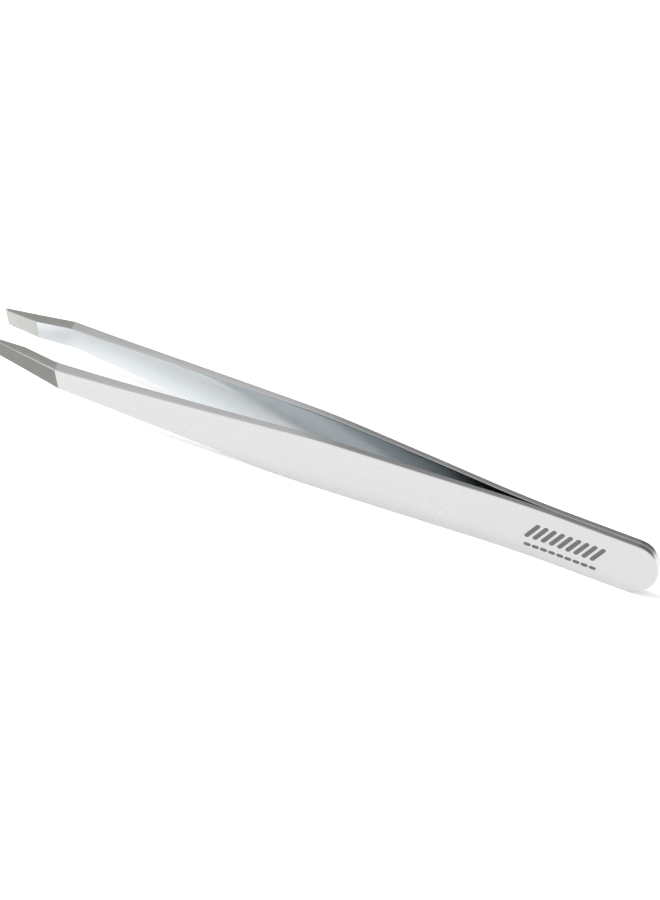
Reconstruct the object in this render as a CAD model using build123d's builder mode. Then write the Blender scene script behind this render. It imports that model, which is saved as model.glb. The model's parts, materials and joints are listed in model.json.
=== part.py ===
"""Slant-tip tweezers: two spring-steel blades, spot-welded together at the heel.

Frame, in millimetres: X runs along the tweezers with the tips at -X, Y is the way the arms
open, and Z is up, across the width of the blades. The tweezers stand on the lower side edges
of both blades, and the origin is at the middle of the footprint.

Each blade is one strip of steel that bends just in front of the weld. It is cut there into a
root, which stays still, and an arm, which turns about the inner corner of the cut.
"""

import os
from math import asin, atan2, cos, degrees, hypot, radians, sin, tan

from build123d import *

# Whole tweezers
overall_length = 95.0
blade_width = 9.4
tip_gap = 5.28  # between the gripping edges, at rest
closed_gap = 0.04  # between the gripping pads, when squeezed shut

# Blade, seen from above
root_thickness = 0.8
seam_length = 13.5  # stretch where the blades lie flat on each other
bend_radius = 170.0  # inner face, where the blades part
bend_angle = 4.1
nose_length = 6.0  # stretch in front of the bowed strip
nose_gap = 3.27  # half the gap where the nose starts
nose_thickness = 1.63
nose_overlap = 4.0  # how far the nose runs back into the strip
nose_height = 2.2  # over the pad, before the bevel is ground

# Gripping end, measured from the edge along the pad
pad_length = 4.5
pad_relief_angle = 11.3
edge_thickness = 0.4
bevel_angle = 12.4
bevel_cut = 12.0  # length of the cut, which runs out of the strip before its end
slant_angle = 21.0  # of the gripping edge, off square

# Blade, seen from the side
tip_half_width = 1.26
flare_start = 12.0  # from the tip, where the slim end widens
flare_half_width = 1.75
flare_radius = 390.0
full_width_start = 46.0
full_width_radius = 100.0
heel_length = 3.9  # of the round end, which is blunter than a half circle

# Welds
weld_count = 3
weld_pitch = 3.3
weld_radius = 1.4
weld_depth = 0.2  # into each blade
weld_centre_from_heel = 8.3

# Finish
edge_radius = 0.14

# Places worked out from the dimensions
tip_x = -overall_length / 2
heel_x = overall_length / 2
mid_z = blade_width / 2
seam_x = heel_x - seam_length
flare_slope = (flare_half_width - tip_half_width) / flare_start
nose_x = tip_x + nose_length

# The arm turns where the bend ends, about the inner face's corner
pivot_x = seam_x - bend_radius * sin(radians(bend_angle))
pivot_y = bend_radius * (1 - cos(radians(bend_angle)))
reach_x = pivot_x - tip_x
reach_y = tip_gap / 2 - pivot_y
pad_rise = closed_gap / 2 - pivot_y
flex_angle = degrees(atan2(reach_y, reach_x) - asin(pad_rise / hypot(reach_x, reach_y)))

# Across the blade where it turns: the cut between root and arm
flex_plane = Plane(
    origin=(pivot_x, pivot_y, mid_z),
    x_dir=(0, 0, 1),
    z_dir=(-cos(radians(bend_angle)), sin(radians(bend_angle)), 0),
)

# Looking along -Y at the blade's face, centred on its width
face_plane = Plane(origin=(0, 0, mid_z), x_dir=(1, 0, 0), z_dir=(0, -1, 0))

# The pad's own plane of drawing, through the gripping edge's upper corner: along the pad, and
# out from it. It is square to the tweezers when they are shut, so at rest it is turned back
# by the flex angle.
grip_plane = Plane(
    origin=(tip_x, tip_gap / 2, mid_z + tip_half_width),
    x_dir=(cos(radians(flex_angle)), -sin(radians(flex_angle)), 0),
    z_dir=(0, 0, 1),
)
slant_direction = grip_plane.x_dir * sin(radians(slant_angle)) - grip_plane.z_dir * cos(radians(slant_angle))

blade_reach = 2 * blade_width  # long enough to pass right through a blade
tool_margin = 1.0

# The right blade in one piece, in the half where Y is positive
with BuildPart() as blade:
    # Strip: flat on the seam, bent outward, then bowed gently back, and thicker to the front
    with BuildSketch(Plane.XY):
        with BuildLine():
            inner_seam = Line((heel_x, 0), (seam_x, 0))
            inner_bend = JernArc(inner_seam @ 1, inner_seam % 1, bend_radius, -bend_angle)
            inner_bow = TangentArc(inner_bend @ 1, (nose_x, nose_gap), tangent=inner_bend % 1)
            outer_seam = Line((heel_x, root_thickness), (seam_x, root_thickness))
            outer_bend = JernArc(outer_seam @ 1, outer_seam % 1, bend_radius - root_thickness, -bend_angle)
            outer_bow = TangentArc(
                outer_bend @ 1, (nose_x, nose_gap + nose_thickness), tangent=outer_bend % 1
            )
            Line(inner_seam @ 0, outer_seam @ 0)
            Line(inner_bow @ 1, outer_bow @ 1)
        make_face()
    extrude(amount=blade_width)

    # Nose: the gripping pad with its relief behind it, ground along the slant
    nose_back = nose_length + nose_overlap
    with BuildSketch(grip_plane):
        with BuildLine():
            Polyline(
                (0, 0),
                (pad_length, 0),
                (nose_back, (nose_back - pad_length) * tan(radians(pad_relief_angle))),
                (nose_back, nose_height),
                (0, nose_height),
                close=True,
            )
        make_face()
    extrude(amount=blade_reach, dir=slant_direction, both=True)

    # Width: slim at the tip, flaring to a parallel body with a round heel
    with BuildSketch(face_plane):
        with BuildLine():
            flare_x = tip_x + flare_start
            front_x = tip_x - tool_margin
            front_half_width = tip_half_width - tool_margin * flare_slope
            upper_side = FilletPolyline(
                (front_x, front_half_width),
                (flare_x, flare_half_width),
                (tip_x + full_width_start, mid_z),
                (heel_x - heel_length, mid_z),
                radius=[flare_radius, full_width_radius],
            )
            mirror(upper_side, about=Plane.XZ)
            EllipticalCenterArc((heel_x - heel_length, 0), heel_length, mid_z, start_angle=-90, arc_size=180)
            Line((front_x, front_half_width), (front_x, -front_half_width))
        make_face()
    extrude(amount=blade_width, both=True, mode=Mode.INTERSECT)

    # Outer bevel: ground along the same slant, down to the gripping edge
    with BuildSketch(grip_plane):
        with BuildLine():
            Polyline(
                (-tool_margin, edge_thickness - tool_margin * tan(radians(bevel_angle))),
                (bevel_cut, edge_thickness + bevel_cut * tan(radians(bevel_angle))),
                (bevel_cut, blade_width),
                (-tool_margin, blade_width),
                close=True,
            )
        make_face()
    extrude(amount=blade_reach, dir=slant_direction, both=True, mode=Mode.SUBTRACT)

    # The edges along the blade are eased. Those of the end face stay sharp, to grip.
    broad_faces = blade.faces().filter_by(lambda face: abs(face.normal_at().Y) > 0.9)
    narrow_faces = blade.faces().filter_by(lambda face: abs(face.normal_at().Y) < 0.5)
    side_edges = narrow_faces.sort_by(Axis.X)[1:].edges()
    fillet(broad_faces.edges().filter_by(lambda edge: edge in side_edges), edge_radius)

# Places of the welds on the seam, seen on the blade's face
weld_places = [
    (heel_x - weld_centre_from_heel + weld_pitch * (i - (weld_count - 1) / 2), 0) for i in range(weld_count)
]

with BuildPart() as spot_welds:
    with BuildSketch(face_plane):
        with Locations(*weld_places):
            Circle(weld_radius)
    extrude(amount=weld_depth, both=True)

with BuildPart() as right_arm_root:
    add(blade.part)
    split(bisect_by=flex_plane, keep=Keep.BOTTOM)
    add(spot_welds.part, mode=Mode.SUBTRACT)

with BuildPart() as right_arm:
    add(blade.part)
    split(bisect_by=flex_plane, keep=Keep.TOP)

with BuildPart() as left_arm_root:
    mirror(right_arm_root.part, about=Plane.XZ)

with BuildPart() as left_arm:
    mirror(right_arm.part, about=Plane.XZ)

right_arm_root.part.label = "right_arm_root"
right_arm.part.label = "right_arm"
left_arm_root.part.label = "left_arm_root"
left_arm.part.label = "left_arm"
spot_welds.part.label = "spot_welds"

os.makedirs("parts", exist_ok=True)
export_step(right_arm_root.part, "parts/right_arm_root.step")
export_step(right_arm.part, "parts/right_arm.step")
export_step(left_arm_root.part, "parts/left_arm_root.step")
export_step(left_arm.part, "parts/left_arm.step")
export_step(spot_welds.part, "parts/spot_welds.step")

print(f"flex angle {flex_angle:.4f} deg about x {pivot_x:.4f} y {pivot_y:.4f}")
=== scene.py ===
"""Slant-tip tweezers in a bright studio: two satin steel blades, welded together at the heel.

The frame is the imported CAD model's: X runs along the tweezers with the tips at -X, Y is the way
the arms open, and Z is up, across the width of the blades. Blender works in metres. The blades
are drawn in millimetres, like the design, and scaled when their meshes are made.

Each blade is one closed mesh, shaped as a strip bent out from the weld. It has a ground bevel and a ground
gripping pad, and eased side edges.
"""

import json
from math import atan, cos, pi, radians, sin, sqrt, tan

import bpy
from mathutils import Matrix, Vector


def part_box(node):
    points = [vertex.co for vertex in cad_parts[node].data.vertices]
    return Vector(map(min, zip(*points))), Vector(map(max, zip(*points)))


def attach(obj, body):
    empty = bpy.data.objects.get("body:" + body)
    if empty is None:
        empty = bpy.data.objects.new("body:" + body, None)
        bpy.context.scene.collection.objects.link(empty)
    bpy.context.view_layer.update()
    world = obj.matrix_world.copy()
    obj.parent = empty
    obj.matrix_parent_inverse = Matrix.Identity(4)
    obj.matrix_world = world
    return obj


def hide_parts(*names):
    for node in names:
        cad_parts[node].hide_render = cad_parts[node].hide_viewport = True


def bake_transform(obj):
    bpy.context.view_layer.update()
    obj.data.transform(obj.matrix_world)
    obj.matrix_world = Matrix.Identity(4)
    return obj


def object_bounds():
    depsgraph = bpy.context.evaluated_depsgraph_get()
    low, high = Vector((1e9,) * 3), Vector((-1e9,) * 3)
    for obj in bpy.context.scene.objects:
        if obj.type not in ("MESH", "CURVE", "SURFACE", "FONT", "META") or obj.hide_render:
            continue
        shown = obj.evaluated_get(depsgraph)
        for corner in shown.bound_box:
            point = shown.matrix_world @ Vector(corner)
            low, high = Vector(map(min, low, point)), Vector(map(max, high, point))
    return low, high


MM = 0.001

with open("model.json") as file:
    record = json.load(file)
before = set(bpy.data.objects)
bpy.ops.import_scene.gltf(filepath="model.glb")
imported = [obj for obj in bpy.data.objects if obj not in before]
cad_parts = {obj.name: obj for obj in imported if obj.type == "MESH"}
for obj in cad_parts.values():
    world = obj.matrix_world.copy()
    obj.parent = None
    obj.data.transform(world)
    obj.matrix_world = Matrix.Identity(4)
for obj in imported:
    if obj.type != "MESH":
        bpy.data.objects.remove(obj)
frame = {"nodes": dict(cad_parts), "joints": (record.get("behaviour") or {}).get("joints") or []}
cad_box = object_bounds()
roots_low, roots_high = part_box("right_arm_root")
joints = {joint["name"]: joint for joint in frame["joints"]}
right_pivot = Vector(joints["right_arm_flex"]["pos_m"])

# Whole tweezers, from the frame
tip_x = cad_box[0].x / MM
heel_x = cad_box[1].x / MM
blade_width = (roots_high.z - roots_low.z) / MM
mid_z = (roots_high.z + roots_low.z) / 2 / MM
pivot_x = right_pivot.x / MM
pivot_y = right_pivot.y / MM
flex_angle = radians(joints["right_arm_flex"]["range_deg"][1])

# Blade, seen from above
root_thickness = 0.8
seam_x = heel_x - 13.5
bend_radius = 170.0
bend_angle = radians(4.1)
nose_x = tip_x + 6.0
nose_gap = 3.27  # half the gap where the nose starts
nose_thickness = 1.63

# Gripping end, measured from the edge along the pad
grip_gap = 2.64  # from the middle plane to the gripping edge
pad_length = 4.5
pad_relief = radians(11.3)
edge_thickness = 0.4
bevel_angle = radians(12.4)
slant_angle = radians(21.0)

# Blade, seen from the side: distances from the tip, and half widths
tip_half_width = 1.26
flare_start = 12.0
flare_half_width = 1.75
flare_radius = 390.0
full_width_start = 46.0
full_width_radius = 100.0
full_half_width = blade_width / 2
heel_length = 3.9  # of the round end, which is blunter than a half circle
heel_start_x = heel_x - heel_length
square_start = 24.0  # from here on the mesh's columns are square to the blade

# Edges
outer_edge_radius = 0.15
inner_edge_radius = 0.08
grip_edge_radius = 0.03
edge_sharpening = 9.0  # the eased edges grow crisp over this length behind the tip
crease_radius = 0.05
relief_blend = 0.9  # the relief runs out softly into the inner face
side_crown = 0.015  # of the wall between the eased edges

# Mesh density
solving_rounds = 5  # to settle a point that a slanted line and a curved outline share
halving_rounds = 40
corner_steps = 5
wall_steps = 4
row_count = 26
heel_steps = 30


# ---- Shape of the right blade, in millimetres -------------------------------------------------


def tangent_arc(start, angle, end):
    """The height y(x) of the arc that leaves start towards -X, rising at that angle, and ends at end."""
    chord = Vector(end) - Vector(start)
    normal = Vector((-sin(angle), -cos(angle)))
    radius = chord.length_squared / (2 * normal.dot(chord))
    centre = Vector(start) + normal * radius
    return lambda x: centre.y + sqrt(radius**2 - (x - centre.x) ** 2)


outer_bend_radius = bend_radius - root_thickness
outer_pivot_x = seam_x - outer_bend_radius * sin(bend_angle)
outer_pivot_y = root_thickness + outer_bend_radius * (1 - cos(bend_angle))
inner_bow = tangent_arc((pivot_x, pivot_y), bend_angle, (nose_x, nose_gap))
outer_bow = tangent_arc((outer_pivot_x, outer_pivot_y), bend_angle, (nose_x, nose_gap + nose_thickness))


def strip_height(x, height, radius, bow_start, bow):
    """y of one face of the bent strip: flat on the seam, then an arc, then the long bow."""
    if x >= seam_x:
        return height
    if x >= bow_start:
        return height + radius - sqrt(radius**2 - (x - seam_x) ** 2)
    return bow(x)


def slant_shift(v):
    """How far the slant moves a line across the blade back from the tip, at height v above the middle."""
    return (tip_half_width - v) * tan(slant_angle)


def ground_plane(x, v, height, start, slope):
    """y of a plane ground along the slant: at that height over the pad at start, and rising with slope."""
    along = x - tip_x
    rise = height + (along * cos(flex_angle) - slant_shift(v) - start) * tan(slope)
    return grip_gap + (rise - along * sin(flex_angle)) / (cos(flex_angle) + sin(flex_angle) * tan(slope))


def pad_y(x, v):
    return ground_plane(x, v, 0, 0, 0)


def relief_y(x, v):
    return ground_plane(x, v, 0, pad_length, pad_relief)


def bevel_y(x, v):
    return ground_plane(x, v, edge_thickness, 0, bevel_angle)


def inner_y(x, v):
    strip = strip_height(x, 0, bend_radius, pivot_x, inner_bow)
    return min(strip, max(pad_y(x, v), relief_y(x, v)))


def outer_y(x, v):
    strip = strip_height(x, root_thickness, outer_bend_radius, outer_pivot_x, outer_bow)
    return min(strip, bevel_y(x, v))


def eased_ramp(x, start, half_length):
    """0 before start and x - start after it, with a round bend of that half length between."""
    if x <= start - half_length:
        return 0
    if x >= start + half_length:
        return x - start
    return (x - start + half_length) ** 2 / (4 * half_length)


def half_width(x):
    """Half the blade's width: slim at the tip, flaring to a parallel body with a round heel."""
    along = x - tip_x
    slim_slope = (flare_half_width - tip_half_width) / flare_start
    flare_slope = (full_half_width - flare_half_width) / (full_width_start - flare_start)
    flare_bend = flare_radius * tan((atan(flare_slope) - atan(slim_slope)) / 2)
    width_bend = full_width_radius * tan(atan(flare_slope) / 2)
    return (
        tip_half_width
        + slim_slope * along
        + (flare_slope - slim_slope) * eased_ramp(along, flare_start, flare_bend)
        - flare_slope * eased_ramp(along, full_width_start, width_bend)
    )


def edge_radius(x, full_radius):
    share = min(1, (x - tip_x) / edge_sharpening)
    return grip_edge_radius + (full_radius - grip_edge_radius) * share


# ---- Lines across the blade, which the mesh's columns follow ----------------------------------


def pad_line(distance):
    """The line along the slant, at that distance from the gripping edge."""
    return lambda v: tip_x + (distance + slant_shift(v)) * cos(flex_angle)


def meeting_line(plane, strip, offset=0):
    """The line where a ground plane runs out into a face of the strip, found by halving."""

    def x_at(v):
        near, far = pad_line(1)(v), pad_line(square_start)(v)
        for _ in range(halving_rounds):
            middle = (near + far) / 2
            if plane(middle, v) < strip(middle):
                near = middle
            else:
                far = middle
        return near + offset

    return x_at


def square_line(x):
    return lambda v: x


def between(line_a, line_b, steps):
    """Lines evenly spaced from line_a up to, but not with, line_b."""

    def mixed(share):
        return lambda v: line_a(v) * (1 - share) + line_b(v) * share

    return [mixed(i / steps) for i in range(steps)]


pad_heel = pad_line(pad_length)
bevel_crease = meeting_line(bevel_y, outer_bow)
relief_crease = meeting_line(relief_y, inner_bow)

# Key lines from the tip to the heel's round end, with the number of columns up to the next one
key_lines = [
    (pad_line(grip_edge_radius), 14),
    (pad_line(pad_length - crease_radius), 1),
    (pad_heel, 1),
    (pad_line(pad_length + crease_radius), 12),
    (meeting_line(relief_y, inner_bow, -relief_blend), 1),
    (relief_crease, 1),
    (meeting_line(bevel_y, outer_bow, -crease_radius), 1),
    (bevel_crease, 1),
    (meeting_line(bevel_y, outer_bow, crease_radius), 1),
    (meeting_line(relief_y, inner_bow, relief_blend), 20),
    (square_line(tip_x + square_start), 46),
    (square_line(pivot_x), 12),
    (square_line(seam_x), 16),
    (square_line(heel_start_x), 0),
]


# ---- One blade as a closed mesh ---------------------------------------------------------------

# The materials, in the order that the blades have them
SATIN, INNER, BEVEL, PAD, EDGE, GROUND_EDGE = range(6)


def blade_columns():
    """The lines across the blade, from the gripping edge to where the round heel starts."""
    columns = []
    for (line, steps), (next_line, _) in zip(key_lines, key_lines[1:]):
        columns += between(line, next_line, steps)
    return columns


columns = blade_columns()
first_heel_column = len(columns)
last_column = first_heel_column + heel_steps


def column_place(column, share, inset):
    """(x, v) on a column, at that share of its half width, with the blade's outline drawn in by inset."""
    if column >= first_heel_column:
        turn = (column - first_heel_column) / heel_steps * pi / 2
        x = heel_start_x + (heel_length - inset) * sin(turn)
        return x, share * (full_half_width - inset) * cos(turn)
    x, v = columns[column](0), 0
    for _ in range(solving_rounds):
        v = share * (half_width(x) - inset)
        x = columns[column](v)
    return x, v


def end_place(share, inset):
    """(x, v) on the end face's outline, drawn in by inset."""
    x, v = tip_x, 0
    for _ in range(solving_rounds):
        v = share * (half_width(x) - inset)
        x = pad_line(inset)(v)
    return x, v


def edge_profile():
    """Points round the blade's edge, from its outer face to its inner face.

    Each is (share of the edge radius inwards, share of the edge radius down from the face, place
    between the faces), where the place is 0 on the outer face's side and 1 on the inner face's.
    """
    quarter = [i / corner_steps * pi / 2 for i in range(corner_steps + 1)]
    outer = [(1 - sin(turn), 1 - cos(turn), 0) for turn in quarter]
    wall = [(0, 0, i / wall_steps) for i in range(1, wall_steps)]
    inner = [(1 - sin(turn), 1 - cos(turn), 1) for turn in reversed(quarter)]
    return outer + wall + inner


def edge_point(place, profile_point):
    """The point at one place round the edge: place(inset) gives (x, v)."""
    inwards, down, side = profile_point
    outline_x = place(0)[0]
    outer_radius = edge_radius(outline_x, outer_edge_radius)
    inner_radius = edge_radius(outline_x, inner_edge_radius)
    radius = inner_radius if side == 1 else outer_radius
    x, v = place(inwards * radius + side_crown * (1 - sin(pi * side)))
    top = outer_y(x, v) - (outer_radius if side else down * outer_radius)
    base = inner_y(x, v) + (down if side == 1 else 1) * inner_radius
    return x, top + (base - top) * side, v


def outline_places():
    """Places along the blade's outline: the lower side from heel to tip, the end, and the upper side."""
    shares = [2 * row / row_count - 1 for row in range(row_count + 1)]

    def side(column, share):
        return lambda inset: column_place(column, share, inset)

    def end(share):
        return lambda inset: end_place(share, inset)

    lower = [(side(column, -1), column) for column in range(last_column, 0, -1)]
    front = [(end(share), 0) for share in shares]
    upper = [(side(column, 1), column) for column in range(1, last_column)]
    return lower + front + upper


def column_number(line):
    """The number of the column that lies on a key line."""
    place = [key_line for key_line, _ in key_lines].index(line)
    return sum(steps for _, steps in key_lines[:place])


bevel_end = column_number(bevel_crease)
pad_end = column_number(pad_heel)


def outer_finish(column):
    return BEVEL if column < bevel_end else SATIN


def inner_finish(column):
    return PAD if column < pad_end else INNER


def rim_finish(column):
    return GROUND_EDGE if column < bevel_end else EDGE


def outline_number(column, row):
    """The number along the outline of a grid point on the rim, or None for a point inside it."""
    if column == last_column:
        return 0
    if column == 0:
        return last_column + row
    if row == 0:
        return last_column - column
    if row == row_count:
        return last_column + row_count + column
    return None


def add_rim(verts, faces, finishes):
    """The blade's edge: one ring of points for each point of the profile.

    Returns the number of the last ring's first point, where the inner face joins on.
    """
    places = outline_places()
    profile = edge_profile()
    for profile_point in profile:
        for place, _ in places:
            verts.append(edge_point(place, profile_point))
    ring = len(places)
    for step in range(len(profile) - 1):
        for i in range(ring):
            j = (i + 1) % ring
            faces.append((step * ring + i, step * ring + j, (step + 1) * ring + j, (step + 1) * ring + i))
            finishes.append(rim_finish(min(places[i][1], places[j][1])))
    return (len(profile) - 1) * ring


def face_grid(verts, face_y, first, full_radius):
    """The grid of point numbers of a broad face, whose rim is the ring that starts at first."""
    grid = {}
    for column in range(last_column + 1):
        for row in range(row_count + 1):
            number = outline_number(column, row)
            if number is None:
                share = 2 * row / row_count - 1
                radius = edge_radius(column_place(column, share, 0)[0], full_radius)
                x, v = column_place(column, share, radius + side_crown)
                grid[column, row] = len(verts)
                verts.append((x, face_y(x, v), v))
            else:
                grid[column, row] = first + number
    return grid


def add_face(verts, faces, finishes, face_y, first, full_radius, finish_of, flip):
    """A broad face, flipped or not so that it looks outwards."""
    grid = face_grid(verts, face_y, first, full_radius)
    for column in range(last_column):
        for row in range(row_count):
            corners = (
                grid[column, row],
                grid[column, row + 1],
                grid[column + 1, row + 1],
                grid[column + 1, row],
            )
            face = tuple(dict.fromkeys(corners))  # at the heel's end, corners fall together
            faces.append(face[::-1] if flip else face)
            finishes.append(finish_of(column))


def blade_mesh(name, mirrored):
    """The closed mesh of a blade, with a material number for each of its faces."""
    verts, faces, finishes = [], [], []
    inner_first = add_rim(verts, faces, finishes)
    add_face(verts, faces, finishes, outer_y, 0, outer_edge_radius, outer_finish, flip=True)
    add_face(verts, faces, finishes, inner_y, inner_first, inner_edge_radius, inner_finish, flip=False)

    side = -1 if mirrored else 1
    points = [(x * MM, side * y * MM, (mid_z + v) * MM) for x, y, v in verts]
    if mirrored:
        faces = [face[::-1] for face in faces]
    mesh = bpy.data.meshes.new(name)
    mesh.from_pydata(points, [], faces)
    mesh.polygons.foreach_set("material_index", finishes)
    mesh.shade_smooth()
    return mesh


def make_blade(name, mirrored, materials):
    blade = bpy.data.objects.new(name, blade_mesh(name, mirrored))
    bpy.context.scene.collection.objects.link(blade)
    for material in materials:
        blade.data.materials.append(material)
    return blade


# ---- Generic etched mark ----------------------------------------------------------------------

mark_start_x = heel_x - 18.0
mark_columns = 9
mark_pitch = 1.17
mark_lean = radians(22)
bar_width = 0.68
bar_height = 3.1
bar_middle = 0.4  # above the blade's middle
dash_width = 0.62
dash_length = 1.02
dash_drop = 2.5  # below the blade's middle
mark_proud = 0.01  # over the steel, so that it shows
mark_depth = 0.03
cap_steps = 8  # round each end of a stroke


def stroke_outline(start, end, width):
    """A straight stroke with round ends, as (x, v) points."""
    along = (Vector(end) - Vector(start)).normalized() * width / 2
    across = Vector((-along.y, along.x))
    outline = []
    for centre, side in ((Vector(end), 1), (Vector(start), -1)):
        for step in range(cap_steps + 1):
            turn = pi * step / cap_steps
            outline.append(centre + side * (along * sin(turn) - across * cos(turn)))
    return outline


def make_mark(material):
    """A plain hatch, a row of leaning bars over a row of dashes, etched on the left blade near the heel."""
    reach = (bar_height - bar_width) / 2
    lean = reach * tan(mark_lean)
    dash = (dash_length - dash_width) / 2
    strokes = []
    for column in range(mark_columns):
        x = mark_start_x + column * mark_pitch
        strokes.append(((x - lean, bar_middle - reach), (x + lean, bar_middle + reach), bar_width))
        strokes.append(((x - dash, -dash_drop), (x + dash, -dash_drop), dash_width))

    verts, faces = [], []
    for start, end, width in strokes:
        outline = stroke_outline(start, end, width)
        first, count = len(verts), len(outline)
        for height in (mark_proud, -mark_depth):
            verts += [(x * MM, -(outer_y(x, v) + height) * MM, (mid_z + v) * MM) for x, v in outline]
        faces.append(tuple(range(first, first + count)))
        faces.append(tuple(range(first + 2 * count - 1, first + count - 1, -1)))
        for i in range(count):
            j = (i + 1) % count
            faces.append((first + i, first + count + i, first + count + j, first + j))
    mesh = bpy.data.meshes.new("etched_mark")
    mesh.from_pydata(verts, [], faces)
    mark = bpy.data.objects.new("etched_mark", mesh)
    bpy.context.scene.collection.objects.link(mark)
    mesh.materials.append(material)
    return mark


# ---- Materials --------------------------------------------------------------------------------


class Nodes:
    """A material's nodes, added one by one and linked by name."""

    def __init__(self, name):
        self.material = bpy.data.materials.new(name)
        self.material.use_nodes = True
        self.tree = self.material.node_tree
        self.shader = self.tree.nodes["Principled BSDF"]
        self.places = self.add("TexCoord").outputs["Object"]

    def add(self, kind, **inputs):
        node = self.tree.nodes.new("ShaderNode" + kind)
        for name, value in inputs.items():
            self.put(node.inputs[name.replace("_", " ")], value)
        return node

    def put(self, socket, value):
        if isinstance(value, bpy.types.NodeSocket):
            self.tree.links.new(value, socket)
        else:
            socket.default_value = value

    def noise(self, pitch, detail=2.0, seed=0.0):
        """Noise from 0 to 1 that changes over pitch, in mm along each of X, Y and Z, or 0 for never."""
        scale = [1 / (length * MM) if length else 0 for length in pitch]
        mapping = self.add("Mapping", Vector=self.places, Scale=scale, Location=(seed, seed, seed))
        noise = self.add("TexNoise", Vector=mapping.outputs["Vector"], Scale=1.0, Detail=detail)
        return noise.outputs["Fac"]

    def ramp(self, value, low, high, to_low=0.0, to_high=1.0):
        """value mapped from low..high to to_low..to_high, and held there."""
        node = self.add("MapRange", Value=value)
        for name, number in (("From Min", low), ("From Max", high), ("To Min", to_low), ("To Max", to_high)):
            node.inputs[name].default_value = number
        return node.outputs["Result"]

    def blend(self, share, low, high):
        """A colour between low and high."""
        node = self.tree.nodes.new("ShaderNodeMix")
        node.data_type = "RGBA"
        factor, colour_a, colour_b = node.inputs[0], node.inputs[6], node.inputs[7]
        for socket, value in zip((factor, colour_a, colour_b), (share, low, high)):
            self.put(socket, (*value, 1) if isinstance(value, tuple) else value)
        return node.outputs[2]

    def bump(self, height, depth, after=None):
        """Relief of that depth in mm. after is the relief that it adds to."""
        node = self.add("Bump", Height=height, Strength=1.0, Distance=depth * MM)
        if after:
            self.put(node.inputs["Normal"], after)
        return node.outputs["Normal"]


def metal(nodes, colour, roughness, normal, anisotropy=0.0):
    nodes.put(nodes.shader.inputs["Base Color"], colour)
    nodes.put(nodes.shader.inputs["Roughness"], roughness)
    nodes.put(nodes.shader.inputs["Normal"], normal)
    nodes.shader.inputs["Metallic"].default_value = 1.0
    nodes.shader.inputs["Anisotropic"].default_value = anisotropy
    return nodes.material


def satin_steel():
    """Outer faces: brushed along the blade, with faint hairlines and hazy patches."""
    nodes = Nodes("satin_steel")
    grain = nodes.noise((6, 0, 0.05), detail=3)
    streaks = nodes.noise((25, 0, 0.35), seed=3.1)
    haze = nodes.noise((7, 7, 4), seed=7.7)
    hairlines = nodes.ramp(nodes.noise((18, 0, 0.09), detail=0, seed=5.3), 0.70, 0.78)
    colour = nodes.blend(streaks, (0.475, 0.475, 0.48), (0.505, 0.505, 0.505))
    colour = nodes.blend(nodes.ramp(hairlines, 0, 1, 0, 0.35), colour, (0.56, 0.56, 0.56))
    roughness = nodes.ramp(haze, 0.3, 0.7, 0.25, 0.33)
    relief = nodes.bump(grain, 0.0012)
    relief = nodes.bump(hairlines, 0.0008, after=relief)
    return metal(nodes, colour, roughness, relief, anisotropy=0.3)


def inner_steel():
    """Inner faces: smoother than the outer ones; their grey is the steel's own, and their cool blue cast is a
    painted reflection.
    """
    nodes = Nodes("inner_steel")
    grain = nodes.noise((8, 0, 0.06), detail=3, seed=1.7)
    haze = nodes.noise((9, 9, 3), seed=4.9)
    # the blue in these colours is a painted reflection of a bluish surround, laid over the steel's own grey
    colour = nodes.blend(haze, (0.550, 0.578, 0.593), (0.590, 0.618, 0.633))
    roughness = nodes.ramp(haze, 0.3, 0.7, 0.12, 0.18)
    return metal(nodes, colour, roughness, nodes.bump(grain, 0.0008))


def ground_bevel():
    """Outer bevel: ground across the blade, so duller and darker."""
    nodes = Nodes("ground_bevel")
    lines = nodes.noise((0.06, 0, 3), detail=3, seed=2.3)
    patches = nodes.noise((1.2, 0, 2.5), seed=6.1)
    colour = nodes.blend(patches, (0.155, 0.157, 0.145), (0.195, 0.197, 0.185))
    roughness = nodes.ramp(lines, 0.3, 0.7, 0.30, 0.42)
    return metal(nodes, colour, roughness, nodes.bump(lines, 0.0015))


def ground_edge():
    """Side edges beside the bevel: dressed on the same wheel."""
    nodes = Nodes("ground_edge")
    lines = nodes.noise((0.08, 0.4, 0.4), detail=3, seed=7.2)
    patches = nodes.noise((1.5, 0.8, 0.8), seed=3.4)
    colour = nodes.blend(patches, (0.33, 0.333, 0.315), (0.39, 0.393, 0.375))
    roughness = nodes.ramp(lines, 0.3, 0.7, 0.28, 0.40)
    return metal(nodes, colour, roughness, nodes.bump(lines, 0.0015))


def ground_pad():
    """Gripping pad: finely ground across the blade."""
    nodes = Nodes("ground_pad")
    lines = nodes.noise((0.05, 0, 2), detail=3, seed=8.3)
    patches = nodes.noise((0.9, 0, 2.5), seed=9.4)
    colour = nodes.blend(patches, (0.385, 0.390, 0.372), (0.440, 0.445, 0.427))
    roughness = nodes.ramp(lines, 0.3, 0.7, 0.26, 0.36)
    return metal(nodes, colour, roughness, nodes.bump(lines, 0.0010))


def eased_edge():
    """Side edges: tumbled smooth, and brighter where they have been handled."""
    nodes = Nodes("eased_edge")
    grain = nodes.noise((0.7, 0.12, 0.12), detail=3, seed=2.9)
    wear = nodes.noise((4, 0.6, 0.6), seed=5.9)
    colour = nodes.blend(wear, (0.50, 0.50, 0.50), (0.58, 0.58, 0.58))
    roughness = nodes.ramp(wear, 0.3, 0.7, 0.28, 0.20)
    return metal(nodes, colour, roughness, nodes.bump(grain, 0.0012))


def etched_grey():
    """Etched mark: a dull, dark oxide with fine speckle."""
    nodes = Nodes("etched_grey")
    speckle = nodes.noise((0.05, 0.05, 0.05), detail=3, seed=3.7)
    colour = nodes.blend(speckle, (0.10, 0.10, 0.103), (0.18, 0.18, 0.183))
    roughness = nodes.ramp(speckle, 0.3, 0.7, 0.45, 0.6)
    return metal(nodes, colour, roughness, nodes.bump(speckle, 0.002))


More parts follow.
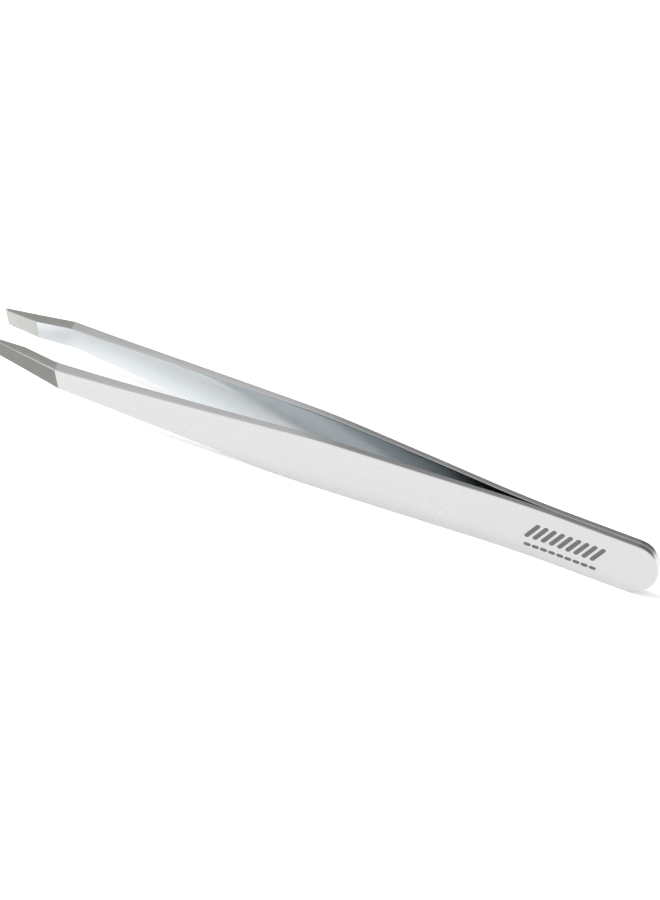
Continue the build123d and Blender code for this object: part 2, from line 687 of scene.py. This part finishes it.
def fused_metal():
    """Weld nuggets: dull, with a straw and blue heat tint."""
    nodes = Nodes("fused_metal")
    tint = nodes.noise((0.9, 0.9, 0.9), seed=1.3)
    cells = nodes.noise((0.15, 0.15, 0.15), detail=4, seed=6.7)
    colour = nodes.blend(nodes.ramp(tint, 0.35, 0.65), (0.50, 0.42, 0.30), (0.38, 0.42, 0.52))
    roughness = nodes.ramp(cells, 0.3, 0.7, 0.35, 0.6)
    return metal(nodes, colour, roughness, nodes.bump(cells, 0.01))


# ---- Studio -----------------------------------------------------------------------------------

floor_radius = 3.0
floor_corners = 96
floor_colour = (0.8, 0.8, 0.8, 1)
floor_glow = 0.25
horizon_light = 0.9
front_light = 1.0  # high up, in front
window_light = 1.1  # high up, at the back on the left
shade_light = 0.22  # high up, at the back on the right
key_place = (-1.65, -0.3, 1.7)
key_size = 1.3
key_power = 75


def make_floor():
    """A pale, softly luminous floor under the tweezers."""
    mesh = bpy.data.meshes.new("floor")
    turns = [2 * pi * i / floor_corners for i in range(floor_corners)]
    corners = [(cos(turn) * floor_radius, sin(turn) * floor_radius, 0) for turn in turns]
    mesh.from_pydata(corners, [], [tuple(range(floor_corners))])
    floor = bpy.data.objects.new("floor", mesh)
    floor.location.z = cad_box[0].z
    bpy.context.scene.collection.objects.link(floor)
    nodes = Nodes("pale_floor")
    nodes.shader.inputs["Base Color"].default_value = floor_colour
    nodes.shader.inputs["Roughness"].default_value = 0.9
    nodes.shader.inputs["Specular IOR Level"].default_value = 0.0
    nodes.shader.inputs["Emission Color"].default_value = (1, 1, 1, 1)
    nodes.shader.inputs["Emission Strength"].default_value = floor_glow
    mesh.materials.append(nodes.material)


def make_world():
    """A pale room, bright but for its upper right corner at the back."""
    world = bpy.data.worlds.new("studio")
    bpy.context.scene.world = world
    world.use_nodes = True
    tree = world.node_tree
    direction = tree.nodes.new("ShaderNodeTexCoord")
    split = tree.nodes.new("ShaderNodeSeparateXYZ")
    tree.links.new(direction.outputs["Generated"], split.inputs["Vector"])

    def fade(axis, low, high, at_low, at_high):
        """Light that goes over from at_low to at_high as that part of the direction goes from low to high."""
        node = tree.nodes.new("ShaderNodeMapRange")
        node.interpolation_type = "SMOOTHSTEP"
        tree.links.new(split.outputs[axis], node.inputs["Value"])
        for name, value in (("From Min", low), ("From Max", high), ("To Min", at_low), ("To Max", at_high)):
            if isinstance(value, bpy.types.NodeSocket):
                tree.links.new(value, node.inputs[name])
            else:
                node.inputs[name].default_value = value
        return node.outputs["Result"]

    at_back = fade("X", -0.3, 0.1, window_light, shade_light)
    high_up = fade("Y", 0.0, 0.4, front_light, at_back)
    light = fade("Z", 0.02, 0.2, horizon_light, high_up)
    tree.links.new(light, tree.nodes["Background"].inputs["Strength"])
    tree.nodes["Background"].inputs["Color"].default_value = (1, 1, 1, 1)


def make_softbox(name, place, size, power):
    """A square area light that faces the tweezers."""
    light = bpy.data.lights.new(name, "AREA")
    light.shape = "SQUARE"
    light.size = size
    light.energy = power
    lamp = bpy.data.objects.new(name, light)
    lamp.location = place
    lamp.rotation_mode = "QUATERNION"
    lamp.rotation_quaternion = Vector(place).to_track_quat("Z", "Y")
    bpy.context.scene.collection.objects.link(lamp)


def make_camera(aim, nudge, azimuth, elevation, roll, distance, picture_width):
    """A camera in front of the tweezers, turned by roll about its view, that sees picture_width at aim.

    nudge moves it to its own right and up.
    """
    camera = bpy.data.objects.new("camera", bpy.data.cameras.new("camera"))
    bpy.context.scene.collection.objects.link(camera)
    back = Vector((sin(azimuth) * cos(elevation), -cos(azimuth) * cos(elevation), sin(elevation)))
    level_right = Vector((cos(azimuth), sin(azimuth), 0))
    right = level_right * cos(roll) + back.cross(level_right) * sin(roll)
    up = back.cross(right)
    aim = Vector(aim) + right * nudge[0] + up * nudge[1]
    axes = Matrix((right, up, back)).transposed().to_4x4()
    camera.matrix_world = Matrix.Translation(aim + back * distance) @ axes
    camera.data.sensor_fit = "HORIZONTAL"
    camera.data.lens = camera.data.sensor_width * distance / picture_width
    camera.data.clip_start = distance / 100
    camera.data.clip_end = distance * 100
    bpy.context.scene.camera = camera


# ---- Everything together ----------------------------------------------------------------------

blade_materials = [satin_steel(), inner_steel(), ground_bevel(), ground_pad(), eased_edge(), ground_edge()]

for side, mirrored in (("right", False), ("left", True)):
    blade = make_blade(f"{side}_blade", mirrored, blade_materials)
    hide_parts(f"{side}_arm", f"{side}_arm_root")
    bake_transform(blade)

mark = make_mark(etched_grey())
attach(mark, "roots")

welds = frame["nodes"]["spot_welds"]
welds.data.materials.clear()
welds.data.materials.append(fused_metal())

make_floor()
make_world()
make_softbox("key_light", key_place, key_size, key_power)
make_camera(
    aim=(0, 0, mid_z * MM),
    nudge=(0.27 * MM, 0.27 * MM),
    azimuth=radians(0.7),
    elevation=radians(49),
    roll=radians(19.85),
    distance=0.833,
    picture_width=88.95 * MM,
)
bpy.context.scene.view_settings.view_transform = "Standard"
